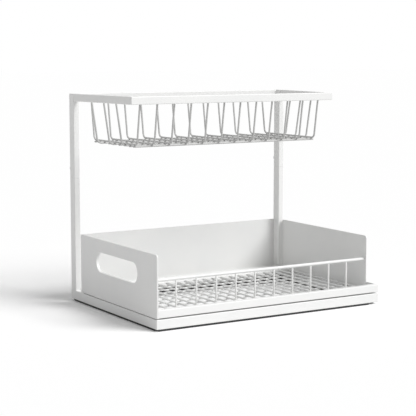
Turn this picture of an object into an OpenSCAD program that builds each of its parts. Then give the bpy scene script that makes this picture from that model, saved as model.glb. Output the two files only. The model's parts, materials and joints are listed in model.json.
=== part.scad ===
// Two-tier pull-out cabinet basket.
// A closed base frame carries two rear posts with a shallow wire basket on top, and a tray that
// rolls out along the long axis (towards -X) on four small rollers.
// Sizes are in millimetres. The modules are drawn from the front left bottom corner of the base:
// X runs along the long side, Y from the front to the back and Z up. The whole object is then
// moved so that its origin lies at the bottom centre of its overall box.

/* [Overall] */
// Length of the base frame, along the pull-out direction
width = 420; // [380:5:520]
// Depth from the front of the base to the back of the posts
depth = 296; // [280:2:340]
// Height from the floor to the top of the posts and rim
height = 347; // [320:1:420]

/* [Tubes] */
// Wall thickness of every tube
tube_wall = 1.2; // [0.8:0.1:1.5]
// Corner radius of every tube
tube_r = 1.2; // [0.6:0.1:1.6]
// Width of the base bars, tray bars and posts
bar_w = 10; // [9:0.5:14]
// Height of the base bars
base_bar_h = 15; // [14:0.5:20]
// Height of the tray bars
tray_bar_h = 12.5; // [11:0.5:18]
// Depth of the posts, front to back
post_d = 17; // [15:0.5:24]

/* [Feet] */
// Thickness of the anti-slip strips
strip_t = 3; // [1.5:0.5:4]
// Width of the anti-slip strips
strip_w = 8; // [5:0.5:8]
// Corner radius of the anti-slip strips
strip_r = 0.5; // [0.2:0.1:0.7]
// Distance from the pull-out end of a long base bar to its strip
strip_end = 4; // [2:1:20]
// Distance from the other end of a long base bar to its strip
strip_far = 18; // [2:1:30]
// Gap between the long strips and the side strips
strip_gap = 1; // [0.5:0.5:10]

/* [Posts] */
// Height of the joint between lower and upper post tubes
splice_z = 207; // [190:1:230]
// Hairline gap between the two post tubes
splice_gap = 0.2; // [0.1:0.1:0.5]
// Length of the sleeve inside each post joint
sleeve_l = 80; // [60:1:100]
// Height of the splice screws
splice_screw_z = 223; // [215:1:235]
// Clearance between sleeve and post wall
sleeve_clear = 0.15; // [0.1:0.05:0.4]
// Thickness of the flange of a post cap
cap_t = 1; // [0.8:0.2:2]
// Length of the plug of a post cap
cap_plug = 12; // [8:1:20]

/* [Screws] */
// Diameter of the screw shanks
screw_d = 4; // [3:0.5:5]
// Diameter of the splice screw heads
splice_head_d = 10; // [8:0.5:11]
// Diameter of the panel screw heads
panel_head_d = 7.6; // [6:0.2:8]
// Height of the screw heads
head_h = 2; // [1.4:0.2:3]
// Length of the screw shanks
screw_l = 8; // [6:0.5:8.5]
// Width of the socket in a screw head, across its corners
socket_d = 2.8; // [2:0.2:3]
// Radial clearance of the screw holes
hole_clear = 0.05; // [0.05:0.05:0.3]

/* [Upper basket] */
// Distance from the front of the base to the front of the rim
rim_front = 109; // [90:1:130]
// Distance that each arm of the rim runs inwards on its way from the post to the front
rim_taper = 17; // [0:1:20]
// Width of the rim bars
rim_w = 7; // [6:0.5:9]
// Height of the rim bars
rim_h = 12.5; // [10:0.5:18]
// Distance from the side of a post to the side of the rim
rim_inset = 1; // [0.5:0.5:2]
// Height of the underside of the basket
basket_z = 266; // [250:1:280]
// Diameter of the basket wires
wire_d = 3; // [2.4:0.2:3.6]
// Inward lean of the basket walls over their height
wall_lean = 10; // [4:1:16]
// Bend radius of the basket wires at the floor
wire_bend = 8; // [7:1:14]
// Number of cross wires
cross_count = 12; // [8:1:14]
// Mean distance from an end of the rim's front bar to the nearest cross wire
cross_margin = 21.5; // [21:0.5:30]
// Distance that the row of cross wires lies off the middle, towards the pull-out end
cross_shift = 2.5; // [0:0.5:5]
// Distance between neighbouring floor wires
floor_pitch = 18; // [16:1:19]
// Distance from the foot of the basket's front wall to its outermost floor wire
floor_margin = 7; // [7:0.5:14]
// Length of wire welded to the inner face of the rim's front bar
wire_weld = 11; // [8:1:12]
// Length of wire welded to the inner faces of the rim's rear bar and arms
low_weld = 5; // [4:0.5:8]

/* [Rear panel] */
// Top of the rear panel
rear_panel_top = 110; // [100:1:140]
// Thickness of the rear panel
rear_panel_t = 1.2; // [0.8:0.1:2]
// Distance from the post's outer side to the panel's end
rear_panel_inset = 2; // [1:0.5:3]
// Distance from the panel's top edge to its upper screws
rear_screw_edge = 16; // [12:1:24]
// Distance from the panel's ends to its lower screws
rear_screw_end = 30; // [20:1:60]

/* [Tray] */
// Gap between the base bars and the tray bars
tray_gap = 2; // [1.5:0.5:4]
// Length of travel of the tray
travel = 250; // [200:5:270]
// Sheet thickness of the two end panels
sheet_t = 1.5; // [1:0.1:2]
// Depth of the folded edge round the end panels
fold_depth = 3; // [2.5:0.5:5]
// Gap between the rear edge of the handle panel and the post
panel_post_gap = 20; // [4:1:40]
// Top of the handle panel
handle_panel_top = 116.5; // [110:0.5:150]
// Distance from the front of the base to the front edge of the end panel
end_panel_front = 30; // [20:1:32]
// Gap between the rear edge of the end panel and the post
end_panel_gap = 1; // [0.8:0.1:10]
// Top of the end panel
end_panel_top = 110.5; // [106:0.5:150]
// Corner radius of the end panels
panel_r = 5; // [4:0.5:10]
// Gap between the base bar and the lower edge of the handle panel
panel_gap = 1.5; // [1:0.5:2]

/* [Handle hole] */
// Length of the handle hole
hole_l = 140; // [110:2:160]
// Height of the handle hole
hole_h = 32; // [28:1:40]
// Height of the middle of the handle hole above the floor
hole_z = 79; // [74:1:84]
// Distance from the middle of the handle panel to the middle of its hole
hole_shift = 2.5; // [-20:0.5:20]
// Depth of the flange round the handle hole
hole_flange = 5; // [3:0.5:8]

/* [Tray floor] */
// Distance from the tray's rear bar to the rear edge of the handle panel
floor_inset = 11; // [5:1:20]
// Width of the tray's rear bar
rear_bar_w = 8; // [6:0.5:10]
// Height of the tray's rear bar above the runner
rear_bar_h = 3.5; // [3:0.5:5]
// Corner radius of the tray's rear bar
rear_bar_r = 0.8; // [0.4:0.1:1.4]
// Diameter of the mesh cross wires
mesh_d = 3; // [2.4:0.2:3.2]
// Diameter of the mesh long wires
mesh_long_d = 2; // [1.6:0.1:2]
// Number of mesh cross wires to each fence upright
mesh_per_bay = 2; // [1:1:3]
// Number of mesh long wires
mesh_long_count = 8; // [5:1:10]

/* [Fence] */
// Height of the middle of the fence rail
fence_z = 71; // [60:1:90]
// Diameter of the fence rail
rail_d = 5; // [4:0.5:6]
// Diameter of the fence uprights
upright_d = 3; // [2.4:0.2:3.6]
// Number of fence uprights
upright_count = 10; // [6:1:12]
// Distance from the front of the base to the middle of the fence
fence_y = 36; // [35:0.5:37]
// Distance from the handle panel to the first fence upright
fence_first = 52.5; // [50:0.5:56]
// Distance from the last fence upright to the end panel
fence_last = 38.5; // [34:0.5:42]

/* [Runners and rollers] */
// Thickness of the runners and their lugs
runner_t = 1.5; // [1.2:0.1:1.6]
// Width of the front runner's flange, which also carries the fence
runner_w = 30; // [29:0.5:36]
// Width of the rear runner's flange under the ends of the mesh
mesh_land = 7; // [5:0.5:7.5]
// Height of the front runner's standing leg
runner_leg = 9; // [6:0.5:9.5]
// Height of the rear runner's lip
runner_lip = 5; // [3:0.5:8]
// Width of a roller lug along the track
lug_w = 16; // [14:1:20]
// Thickness of the track profile
track_t = 1.2; // [1:0.1:1.4]
// Depth of the track profile
track_d = 10.5; // [10:0.1:10.8]
// Clearance from the track to the base bar's upper and lower edges
track_edge = 1; // [0.5:0.1:1.2]
// Diameter of the fixed rollers at the pull-out end
fixed_roller_d = 14; // [13:0.5:14.5]
// Distance from the base's left end to the fixed rollers
fixed_roller_x = 22; // [21:0.5:26]
// Distance from the base's right end to the tray rollers
tray_roller_x = 24; // [22:0.5:30]
// Width of every roller
roller_w = 6; // [5:0.5:6.5]
// Diameter of the roller axle pins
axle_d = 3; // [2.5:0.1:3.5]
// Diameter of the heads of the roller axle pins
axle_head_d = 5; // [4.5:0.1:6]
// Running clearance between a roller and its axle pin
axle_clear = 0.08; // [0.05:0.01:0.1]
// Gap between a roller and the face that it rolls on
roll_gap = 0.3; // [0.2:0.05:0.4]
// Length of the closing bumpers
bumper_l = 8; // [5:0.5:9]
// Diameter of the opening stop pins
stop_d = 5; // [4:0.5:6]
// Number of rivets in each track
rivet_count = 4; // [2:1:6]
// Diameter of the rivets
rivet_d = 3; // [2.5:0.1:4]
// Diameter of the rivet heads
rivet_head_d = 6; // [5:0.5:6]
// Height of the rivet heads
rivet_head_h = 0.8; // [0.5:0.1:1]
// Height of the heads of the roller axle pins
axle_head_h = 0.6; // [0.4:0.1:0.8]
// Height of the roller's hub wall round its axle
hub_wall = 1.5; // [1:0.1:1.8]
// Bevel on the rims of the rollers
roller_bevel = 0.6; // [0.3:0.1:1]
// Gap between the moving lugs or axle heads and what they pass
pass_gap = 0.8; // [0.6:0.1:1]
// Gap between the ends of a track and the base's end bars
track_end_gap = 0.5; // [0.3:0.1:1]
// Free length between a fixed roller and the track flanges
roller_room = 2; // [1:0.5:4]

/* [Hidden] */
$fn = 48;

// Finishes, as the object shows them
white_coat = [0.93, 0.93, 0.92];
black_rubber = [0.06, 0.06, 0.06];
bright_steel = [0.72, 0.73, 0.74];
white_plastic = [0.90, 0.90, 0.89];

eps = 0.01; // how far a cut runs past the face that it opens

// Heights
base_z0 = strip_t;
base_z1 = base_z0 + base_bar_h;
tray_z0 = base_z1 + tray_gap;
tray_z1 = tray_z0 + tray_bar_h;
flange_z1 = tray_z0 + runner_t;
mesh_z = flange_z1 + mesh_d / 2;
mesh_long_z = flange_z1 - mesh_long_d / 2;
rim_z0 = height - rim_h;
post_top = height - cap_t;

// Places along Y
post_y = depth - post_d;
panel_depth = post_y - panel_post_gap;
rear_face = depth + rear_panel_t + head_h;
rim_rear_y = depth - rim_w;
floor_depth = panel_depth - floor_inset;
rear_flange_y0 = floor_depth - rear_bar_w - mesh_land;
end_depth = post_y - end_panel_gap;

// Places along X
tray_x0 = sheet_t + bar_w;
tray_x1 = width - bar_w;
panel_in_x = width - sheet_t;
tray_roller_cx = width - tray_roller_x;

// Places of the rollers, tracks and lugs, measured inwards from a base bar's inner face
side_play = 0.3;
roller_in = track_t + rivet_head_h + axle_head_h + pass_gap;
roller_out = roller_in + roller_w;
lug_in = track_d + pass_gap;
track_z0 = base_z0 + track_edge;
track_z1 = base_z1 - track_edge;
track_zc = (track_z0 + track_z1) / 2;
tray_roller_d = track_z1 - track_z0 - 2 * track_t - 2 * roll_gap;
fixed_roller_z = tray_z0 - roll_gap - fixed_roller_d / 2;
track_x0 = bar_w + track_end_gap;
track_flange_x0 = fixed_roller_x + fixed_roller_d / 2 + roller_room;
stop_x = tray_roller_cx - travel - tray_roller_d / 2 - stop_d / 2 - side_play;

// Puts the object's origin at the bottom centre of its overall box
module placed() {
    translate([-width / 2, -rear_face / 2, 0]) children();
}

// Draws its children for the front and again, mirrored, for the rear base bar
module at_both_bars() {
    at_front_bar() children();
    at_rear_bar() children();
}

// Frame for pieces on the front base bar: y counts from the bar's inner face to the middle
module at_front_bar() {
    translate([0, bar_w, 0]) children();
}

// The same frame, mirrored, on the rear base bar, which is as wide as the posts are deep
module at_rear_bar() {
    translate([0, post_y, 0]) mirror([0, 1, 0]) children();
}

// Exact rectangle with round corners, from the origin
module round_rect(w, h, r) {
    translate([r, 0]) square([w - 2 * r, h]);
    translate([0, r]) square([w, h - 2 * r]);
    for (x = [r, w - r], y = [r, h - r]) translate([x, y]) circle(r);
}

// Solid prism along X: the profile's first axis becomes Y and its second Z
module along_x(l) {
    rotate([90, 0, 90]) linear_extrude(l) children();
}

// Rectangular tube along X with its outer side at y = 0. Its inner side is shorter by the two
// mitre cuts, and an end that meets nothing is closed by a welded cap.
module tube_bar(l, w, h, mitres = [0, 0], caps = [false, false]) {
    hollow0 = caps[0] ? tube_wall : -eps;
    hollow1 = caps[1] ? l - tube_wall : l + eps;
    difference() {
        intersection() {
            along_x(l) round_rect(w, h, tube_r);
            translate([0, 0, -eps]) linear_extrude(h + 2 * eps)
                polygon([[0, 0], [l, 0], [l - mitres[1], w], [mitres[0], w]]);
        }
        translate([hollow0, tube_wall, tube_wall])
            cube([hollow1 - hollow0, w - 2 * tube_wall, h - 2 * tube_wall]);
    }
}

// Swaps X and Y, so that a bar drawn along X runs along Y
module along_y() {
    mirror([1, -1, 0]) children();
}

// Direction of the line from p to q, in degrees
function heading(p, q) = atan2(q[1] - p[1], q[0] - p[0]);
// Turn at the middle one of three points, in degrees, positive to the left
function turn(p, q, r) =
    let (a = heading(q, r) - heading(p, q)) a > 180 ? a - 360 : a < -180 ? a + 360 : a;
function step(a, l) = [l * cos(a), l * sin(a)];
// A corner of the path is a round bend if it turns by more than this many degrees
least_bend = 20;
function is_bend(pts, i) =
    i > 0 && i < len(pts) - 1 && abs(turn(pts[i - 1], pts[i], pts[i + 1])) > least_bend;
// Straight length that a round bend takes from each side of its corner
function bend_take(pts, i, r) =
    is_bend(pts, i) ? r * tan(abs(turn(pts[i - 1], pts[i], pts[i + 1])) / 2) : 0;

// Round wire that follows points in the XY plane, with round bends. The bends are a hair thicker
// than the straight lengths, which run a little way into them, so that all fuse into one solid.
module bent_wire(pts, d, r) {
    swell = 0.04;
    bite = 0.1;
    for (i = [0 : len(pts) - 2]) {
        a = heading(pts[i], pts[i + 1]);
        cut0 = bend_take(pts, i, r) - (is_bend(pts, i) ? bite : 0);
        cut1 = bend_take(pts, i + 1, r) - (is_bend(pts, i + 1) ? bite : 0);
        start = pts[i] + step(a, cut0);
        translate([start[0], start[1], 0]) rotate([0, 90, a])
            cylinder(d = d, h = norm(pts[i + 1] - pts[i]) - cut0 - cut1);
    }
    for (i = [1 : len(pts) - 2]) {
        a = heading(pts[i - 1], pts[i]);
        t = turn(pts[i - 1], pts[i], pts[i + 1]);
        side = t > 0 ? 1 : -1;
        centre = pts[i] - step(a, bend_take(pts, i, r)) + step(a + 90 * side, r);
        if (is_bend(pts, i))
            translate([centre[0], centre[1], 0]) rotate([0, 0, t > 0 ? a - 90 : a + 90 + t])
                rotate_extrude(angle = abs(t)) translate([r, 0]) circle(d = d + swell);
        else
            translate([pts[i][0], pts[i][1], 0]) sphere(d = d + swell);
    }
}

// Wire in the plane of Y and Z, at the given x
module wire_yz(x, pts, d, r) {
    translate([x, 0, 0]) rotate([90, 0, 90]) bent_wire(pts, d, r);
}

// Wire in the plane of X and Z, at the given y
module wire_xz(y, pts, d, r) {
    translate([0, y, 0]) rotate([90, 0, 0]) bent_wire(pts, d, r);
}

// ---- Base frame ----

module base_front_bar() {
    color(white_coat) placed() difference() {
        translate([0, 0, base_z0]) tube_bar(width, bar_w, base_bar_h, [bar_w, bar_w]);
        at_front_bar() track_holes();
    }
}

module base_rear_bar() {
    color(white_coat) placed() difference() {
        translate([0, depth, base_z0]) mirror([0, 1, 0])
            tube_bar(width, post_d, base_bar_h, [bar_w, bar_w]);
        at_rear_bar() track_holes();
        for (x = [rear_screw_end, width - rear_screw_end])
            rear_hole(x, rear_screw_low, depth - tube_wall - eps, tube_wall + 2 * eps);
    }
}

module base_side_bar() {
    translate([0, 0, base_z0]) along_y() tube_bar(depth, bar_w, base_bar_h, [bar_w, post_d]);
}

module base_left_bar() {
    color(white_coat) placed() base_side_bar();
}

module base_right_bar() {
    color(white_coat) placed() translate([width, 0, 0]) mirror([1, 0, 0]) base_side_bar();
}

module strip(l) {
    along_x(l) translate([(bar_w - strip_w) / 2, 0]) round_rect(strip_w, strip_t, strip_r);
}

module anti_slip_strips() {
    long_l = width - strip_end - strip_far;
    side_start = (bar_w + strip_w) / 2 + strip_gap;
    side_l = depth - 2 * side_start;
    color(black_rubber) placed() {
        translate([strip_end, 0, 0]) strip(long_l);
        translate([strip_end, depth - bar_w, 0]) strip(long_l);
        translate([0, side_start, 0]) along_y() strip(side_l);
        translate([width - bar_w, side_start, 0]) along_y() strip(side_l);
    }
}

// ---- Posts ----

module post_tube(x, z0, z1) {
    translate([x, post_y, z0]) difference() {
        linear_extrude(z1 - z0) round_rect(bar_w, post_d, tube_r);
        translate([tube_wall, tube_wall, -eps])
            cube([bar_w - 2 * tube_wall, post_d - 2 * tube_wall, z1 - z0 + 2 * eps]);
    }
}

// Screw hole along +Y that starts at y0
module rear_hole(x, z, y0, l) {
    translate([x, y0, z]) rotate([-90, 0, 0]) cylinder(d = screw_d + 2 * hole_clear, h = l);
}

module lower_post(x) {
    color(white_coat) placed() difference() {
        post_tube(x, base_z1, splice_z);
        rear_hole(x + bar_w / 2, rear_screw_top, depth - tube_wall - eps, tube_wall + 2 * eps);
    }
}

module upper_post(x) {
    color(white_coat) placed() difference() {
        post_tube(x, splice_z + splice_gap, post_top);
        rear_hole(x + bar_w / 2, splice_screw_z, depth - tube_wall - eps, tube_wall + 2 * eps);
    }
}

module left_post_lower() { lower_post(0); }
module right_post_lower() { lower_post(width - bar_w); }
module left_post_upper() { upper_post(0); }
module right_post_upper() { upper_post(width - bar_w); }

sleeve_gap = tube_wall + sleeve_clear;
module post_sleeve(x) {
    w = bar_w - 2 * sleeve_gap;
    d = post_d - 2 * sleeve_gap;
    z0 = splice_z - sleeve_l / 2;
    color(bright_steel) placed() difference() {
        translate([x + sleeve_gap, post_y + sleeve_gap, z0]) cube([w, d, sleeve_l]);
        translate([x + sleeve_gap + tube_wall, post_y + sleeve_gap + tube_wall, z0 - eps])
            cube([w - 2 * tube_wall, d - 2 * tube_wall, sleeve_l + 2 * eps]);
        rear_hole(x + bar_w / 2, splice_screw_z, depth - sleeve_gap - tube_wall - eps,
            tube_wall + 2 * eps);
    }
}

module left_post_sleeve() { post_sleeve(0); }
module right_post_sleeve() { post_sleeve(width - bar_w); }

// Pan-head screw along Y: its head starts at y = 0 and its shank runs the other way
module pan_screw(head_d) {
    rotate([90, 0, 0]) cylinder(d = screw_d, h = screw_l);
    rotate([-90, 0, 0]) difference() {
        union() {
            cylinder(d = head_d, h = head_h / 2);
            translate([0, 0, head_h / 2]) cylinder(d1 = head_d, d2 = head_d - head_h, h = head_h / 2);
        }
        translate([0, 0, head_h / 2]) cylinder(d = socket_d, h = head_h, $fn = 6);
    }
}

module splice_screws() {
    color(bright_steel) placed() for (x = [0, width - bar_w])
        translate([x + bar_w / 2, depth, splice_screw_z]) pan_screw(splice_head_d);
}

module post_caps() {
    color(white_plastic) placed() for (x = [0, width - bar_w]) translate([x, post_y, 0]) {
        translate([0, 0, post_top]) linear_extrude(cap_t) round_rect(bar_w, post_d, tube_r);
        translate([sleeve_gap, sleeve_gap, post_top - cap_plug])
            cube([bar_w - 2 * sleeve_gap, post_d - 2 * sleeve_gap, cap_plug]);
    }
}

// ---- Rear panel ----

rear_screw_top = rear_panel_top - rear_screw_edge;
rear_screw_low = base_z0 + base_bar_h / 2;
rear_screws = [
    [bar_w / 2, rear_screw_top], [width - bar_w / 2, rear_screw_top],
    [rear_screw_end, rear_screw_low], [width - rear_screw_end, rear_screw_low]
];

module rear_panel() {
    l = width - 2 * rear_panel_inset;
    z0 = base_z0 + tube_r;
    color(white_coat) placed() difference() {
        translate([rear_panel_inset, depth + rear_panel_t, z0]) rotate([90, 0, 0])
            linear_extrude(rear_panel_t) round_rect(l, rear_panel_top - z0, panel_r);
        for (p = rear_screws) rear_hole(p[0], p[1], depth - eps, rear_panel_t + 2 * eps);
    }
}

module rear_panel_screws() {
    color(bright_steel) placed() for (p = rear_screws)
        translate([p[0], depth + rear_panel_t, p[1]]) pan_screw(panel_head_d);
}

// ---- Rim and upper basket ----

rim_front_x = rim_inset + rim_taper;
rim_front_l = width - 2 * rim_front_x;
rim_mid_y = (rim_front + rim_w + rim_rear_y) / 2;
rim_lean = atan2(rim_taper, post_y - rim_front); // turn of an arm from the Y axis
rim_mitre = rim_w * tan((90 - rim_lean) / 2);

module rim_front_bar() {
    color(white_coat) placed() translate([rim_front_x, rim_front, rim_z0])
        tube_bar(rim_front_l, rim_w, rim_h, [rim_mitre, rim_mitre]);
}

module rim_rear_bar() {
    color(white_coat) placed() translate([bar_w, depth, rim_z0]) mirror([0, 1, 0])
        tube_bar(width - 2 * bar_w, rim_w, rim_h);
}

// Arm of the rim from its mitre at the front to the post, which cuts it square to the Y axis
module rim_arm() {
    translate([rim_front_x, rim_front, rim_z0]) rotate([0, 0, rim_lean]) along_y()
        tube_bar(norm([rim_taper, post_y - rim_front]), rim_w, rim_h,
            [rim_mitre, rim_w * tan(rim_lean)]);
}

module rim_left_arm() {
    color(white_coat) placed() rim_arm();
}

module rim_right_arm() {
    color(white_coat) placed() translate([width, 0, 0]) mirror([1, 0, 0]) rim_arm();
}

// Outline of a U-shaped basket wire whose legs stand at a and b, with its floor at height z and
// its ends at the heights top0 and top1 above the underside of the rim
function basket_path(a, b, z, top0, top1) = [
    [a, rim_z0 + top0], [a, rim_z0], [a + wall_lean, z], [b - wall_lean, z], [b, rim_z0],
    [b, rim_z0 + top1]
];

floor_z = basket_z + wire_d / 2;
cross_z = floor_z + wire_d;
cross_pitch = (rim_front_l - 2 * cross_margin) / (cross_count - 1);
cross_x0 = rim_front_x + cross_margin - cross_shift;

// Where the middle of a wire at the given y lies when it touches the left arm's inner face
function leg_x(y) =
    rim_inset + (rim_w + wire_d / 2) / cos(rim_lean) + (post_y - y) * tan(rim_lean);

module basket_cross_wires() {
    path = basket_path(rim_front + rim_w + wire_d / 2, rim_rear_y - wire_d / 2, cross_z,
        wire_weld, low_weld);
    color(white_coat) placed() for (i = [0 : cross_count - 1])
        wire_yz(cross_x0 + i * cross_pitch, path, wire_d, wire_bend);
}

module basket_long_wires() {
    color(white_coat) placed() for (i = [-1 : 1]) let (y = rim_mid_y + 2 * i * floor_pitch)
        wire_xz(y, basket_path(leg_x(y), width - leg_x(y), floor_z, low_weld, low_weld),
            wire_d, wire_bend);
}

// Straight floor wires lie halfway between the long wires, and one more at each edge
module basket_floor_wires() {
    floor_edge = (rim_rear_y - rim_front - rim_w - wire_d) / 2 - wall_lean - floor_margin;
    inner = [for (dy = [floor_pitch : 2 * floor_pitch : floor_edge - 2 * wire_d]) dy];
    color(white_coat) placed() for (side = [-1, 1], dy = side * concat(inner, [floor_edge]))
        translate([cross_x0 - wire_d, rim_mid_y + dy, floor_z]) rotate([0, 90, 0])
            cylinder(d = wire_d, h = (cross_count - 1) * cross_pitch + 2 * wire_d);
}

// ---- Tracks, fixed rollers and stops ----

// Rivet places along a track: one before the opening stop and the others behind it
rivet_first = stop_x + stop_d + rivet_head_d;
rivet_last = width - bar_w - bumper_l - tray_roller_x;
function rivet_x(i) = i == 0 ? track_flange_x0 + rivet_head_d
    : rivet_first + (i - 1) * (rivet_last - rivet_first) / max(1, rivet_count - 2);

// Holes for the track's rivets through the base bar's inner wall
module track_holes() {
    for (i = [0 : rivet_count - 1])
        pin_y(rivet_x(i), track_zc, rivet_d + 2 * hole_clear, -tube_wall - eps, eps);
}

// Round pin along y from y0 to y1
module pin_y(x, z, d, y0, y1) {
    translate([x, y0, z]) rotate([-90, 0, 0]) cylinder(d = d, h = y1 - y0);
}

module track() {
    track_l = width - 2 * track_x0;
    flange_l = width - track_x0 - track_flange_x0;
    difference() {
        union() {
            translate([track_x0, 0, track_z0]) cube([track_l, track_t, track_z1 - track_z0]);
            for (z = [track_z0, track_z1 - track_t])
                translate([track_flange_x0, 0, z]) cube([flange_l, track_d, track_t]);
        }
        for (i = [0 : rivet_count - 1])
            pin_y(rivet_x(i), track_zc, rivet_d + 2 * hole_clear, -eps, track_t + eps);
        pin_y(fixed_roller_x, fixed_roller_z, axle_d + 2 * hole_clear, -eps, track_t + eps);
        pin_y(stop_x, track_zc, axle_d + 2 * hole_clear, -eps, track_t + eps);
    }
}

module front_track() {
    color(white_coat) placed() at_front_bar() track();
}

module rear_track() {
    color(white_coat) placed() at_rear_bar() track();
}

module track_rivets() {
    color(bright_steel) placed() at_both_bars() for (i = [0 : rivet_count - 1]) {
        pin_y(rivet_x(i), track_zc, rivet_d, -tube_wall - rivet_head_h, track_t);
        pin_y(rivet_x(i), track_zc, rivet_head_d, track_t, track_t + rivet_head_h);
    }
}

module fixed_roller_axles() {
    head = roller_out + side_play;
    color(bright_steel) placed() at_both_bars() {
        pin_y(fixed_roller_x, fixed_roller_z, axle_d, 0, head);
        pin_y(fixed_roller_x, fixed_roller_z, axle_head_d, head, head + axle_head_h);
    }
}

module closing_bumpers() {
    color(black_rubber) placed() at_both_bars()
        translate([width - track_x0 - bumper_l, track_t, track_z0 + track_t])
            cube([bumper_l, roller_out - track_t, track_z1 - track_z0 - 2 * track_t]);
}

module opening_stops() {
    color(bright_steel) placed() at_both_bars() {
        pin_y(stop_x, track_zc, axle_d, 0, track_t);
        pin_y(stop_x, track_zc, stop_d, track_t, roller_out);
    }
}

// ---- Tray ----

// End panel in the plane of Y and Z: a sheet with its free edges folded inwards, the outer face
// at x = 0 and the folds towards +X
module folded_panel(y0, y1, z0, z1) {
    w = y1 - y0;
    h = z1 - z0;
    translate([0, y0, z0]) difference() {
        along_x(fold_depth) panel_outline(w, h, panel_r);
        translate([sheet_t, sheet_t, -eps]) along_x(fold_depth)
            panel_outline(w - 2 * sheet_t, h - sheet_t + eps, panel_r - sheet_t);
    }
}

// Rectangle whose two upper corners are round
module panel_outline(w, h, r) {
    square([w, h - r]);
    translate([r, 0]) square([w - 2 * r, h]);
    for (x = [r, w - r]) translate([x, h - r]) circle(r);
}

// Stadium of the handle hole, grown by g on every side
module hole_shape(g) {
    r = hole_h / 2 + g;
    half = (hole_l - hole_h) / 2;
    translate([panel_depth / 2 + hole_shift, hole_z]) {
        translate([-half, -r]) square([2 * half, 2 * r]);
        for (s = [-1, 1]) translate([s * half, 0]) circle(r);
    }
}

module handle_panel() {
    color(white_coat) placed() difference() {
        union() {
            folded_panel(0, panel_depth, base_z1 + panel_gap, handle_panel_top);
            along_x(hole_flange) hole_shape(sheet_t);
        }
        translate([-eps, 0, 0]) along_x(hole_flange + 2 * eps) hole_shape(0);
    }
}

module end_panel() {
    color(white_coat) placed() translate([width, 0, 0]) mirror([1, 0, 0])
        folded_panel(end_panel_front, end_depth, flange_z1, end_panel_top);
}

module tray_front_bar() {
    color(white_coat) placed() translate([fold_depth, 0, tray_z0])
        tube_bar(width - fold_depth, bar_w, tray_bar_h, [0, 0], [true, true]);
}

// Flat bar under the end panel, with an upstand between the panel and the front bar
module tray_right_bar() {
    color(white_coat) placed() {
        translate([tray_x1, bar_w, tray_z0]) cube([bar_w, end_depth - bar_w, runner_t]);
        translate([panel_in_x, bar_w, flange_z1])
            cube([sheet_t, end_panel_front - bar_w, tray_z1 - flange_z1]);
    }
}

module tray_left_bar() {
    color(white_coat) placed() translate([sheet_t, bar_w, tray_z0]) along_y()
        tube_bar(panel_depth - bar_w - sheet_t, bar_w, tray_bar_h);
}

module tray_rear_bar() {
    color(white_coat) placed() translate([tray_x0, floor_depth - rear_bar_w, flange_z1])
        along_x(panel_in_x - tray_x0) round_rect(rear_bar_w, rear_bar_h, rear_bar_r);
}

fence_x0 = sheet_t + fence_first;
upright_pitch = (panel_in_x - fence_last - fence_x0) / (upright_count - 1);
mesh_pitch = upright_pitch / mesh_per_bay;
mesh_y0 = bar_w + runner_t;
mesh_y1 = floor_depth - rear_bar_w;
mesh_long_y0 = bar_w + runner_w;
mesh_long_pitch = (rear_flange_y0 - mesh_long_y0) / mesh_long_count;

module mesh_cross_wires() {
    color(white_coat) placed() for (i = [0 : mesh_per_bay * (upright_count + 1) - 1])
        pin_y(fence_x0 + (i + 0.5 - mesh_per_bay) * mesh_pitch, mesh_z, mesh_d, mesh_y0, mesh_y1);
}

module mesh_long_wires() {
    color(white_coat) placed() for (i = [0 : mesh_long_count - 1])
        translate([tray_x0, mesh_long_y0 + (i + 0.5) * mesh_long_pitch, mesh_long_z])
            rotate([0, 90, 0]) cylinder(d = mesh_long_d, h = tray_x1 - tray_x0);
}

module fence_rail() {
    color(white_coat) placed() translate([sheet_t, fence_y, fence_z]) rotate([0, 90, 0])
        cylinder(d = rail_d, h = panel_in_x - sheet_t);
}

module fence_uprights() {
    color(white_coat) placed() for (i = [0 : upright_count - 1])
        translate([fence_x0 + i * upright_pitch, fence_y, flange_z1])
            cylinder(d = upright_d, h = fence_z - rail_d / 2 - flange_z1);
}

// Lug that hangs from a runner and carries a tray roller
module lug() {
    z0 = track_zc - tray_roller_d / 2;
    difference() {
        translate([tray_roller_cx - lug_w / 2, lug_in, z0]) cube([lug_w, runner_t, tray_z0 - z0]);
        pin_y(tray_roller_cx, track_zc, axle_d + 2 * hole_clear, lug_in - eps, lug_in + runner_t + eps);
    }
}

// Angle under the front of the mesh and the fence: one leg stands against the tray's front bar
module front_runner() {
    l = tray_x1 - tray_x0;
    color(white_coat) placed() at_front_bar() {
        translate([tray_x0, 0, tray_z0]) cube([l, runner_w, runner_t]);
        translate([tray_x0, 0, flange_z1]) cube([l, runner_t, runner_leg]);
        lug();
    }
}

// Strip under the rear of the mesh, with a raised lip: it reaches back over the rear track and
// stays clear of the posts
module rear_runner() {
    l = tray_x1 - tray_x0;
    far = post_y - rear_flange_y0;
    color(white_coat) placed() at_rear_bar() {
        translate([tray_x0, track_t, tray_z0]) cube([l, far - track_t, runner_t]);
        translate([tray_x0, track_t, flange_z1]) cube([l, runner_t, runner_lip]);
        lug();
    }
}

module tray_roller_axles() {
    head = roller_in - side_play - axle_head_h;
    back = lug_in + runner_t;
    color(bright_steel) placed() at_both_bars() {
        pin_y(tray_roller_cx, track_zc, axle_head_d, head, head + axle_head_h);
        pin_y(tray_roller_cx, track_zc, axle_d, head + axle_head_h, back);
        pin_y(tray_roller_cx, track_zc, axle_head_d, back, back + axle_head_h);
    }
}

// ---- Rollers ----

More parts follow.
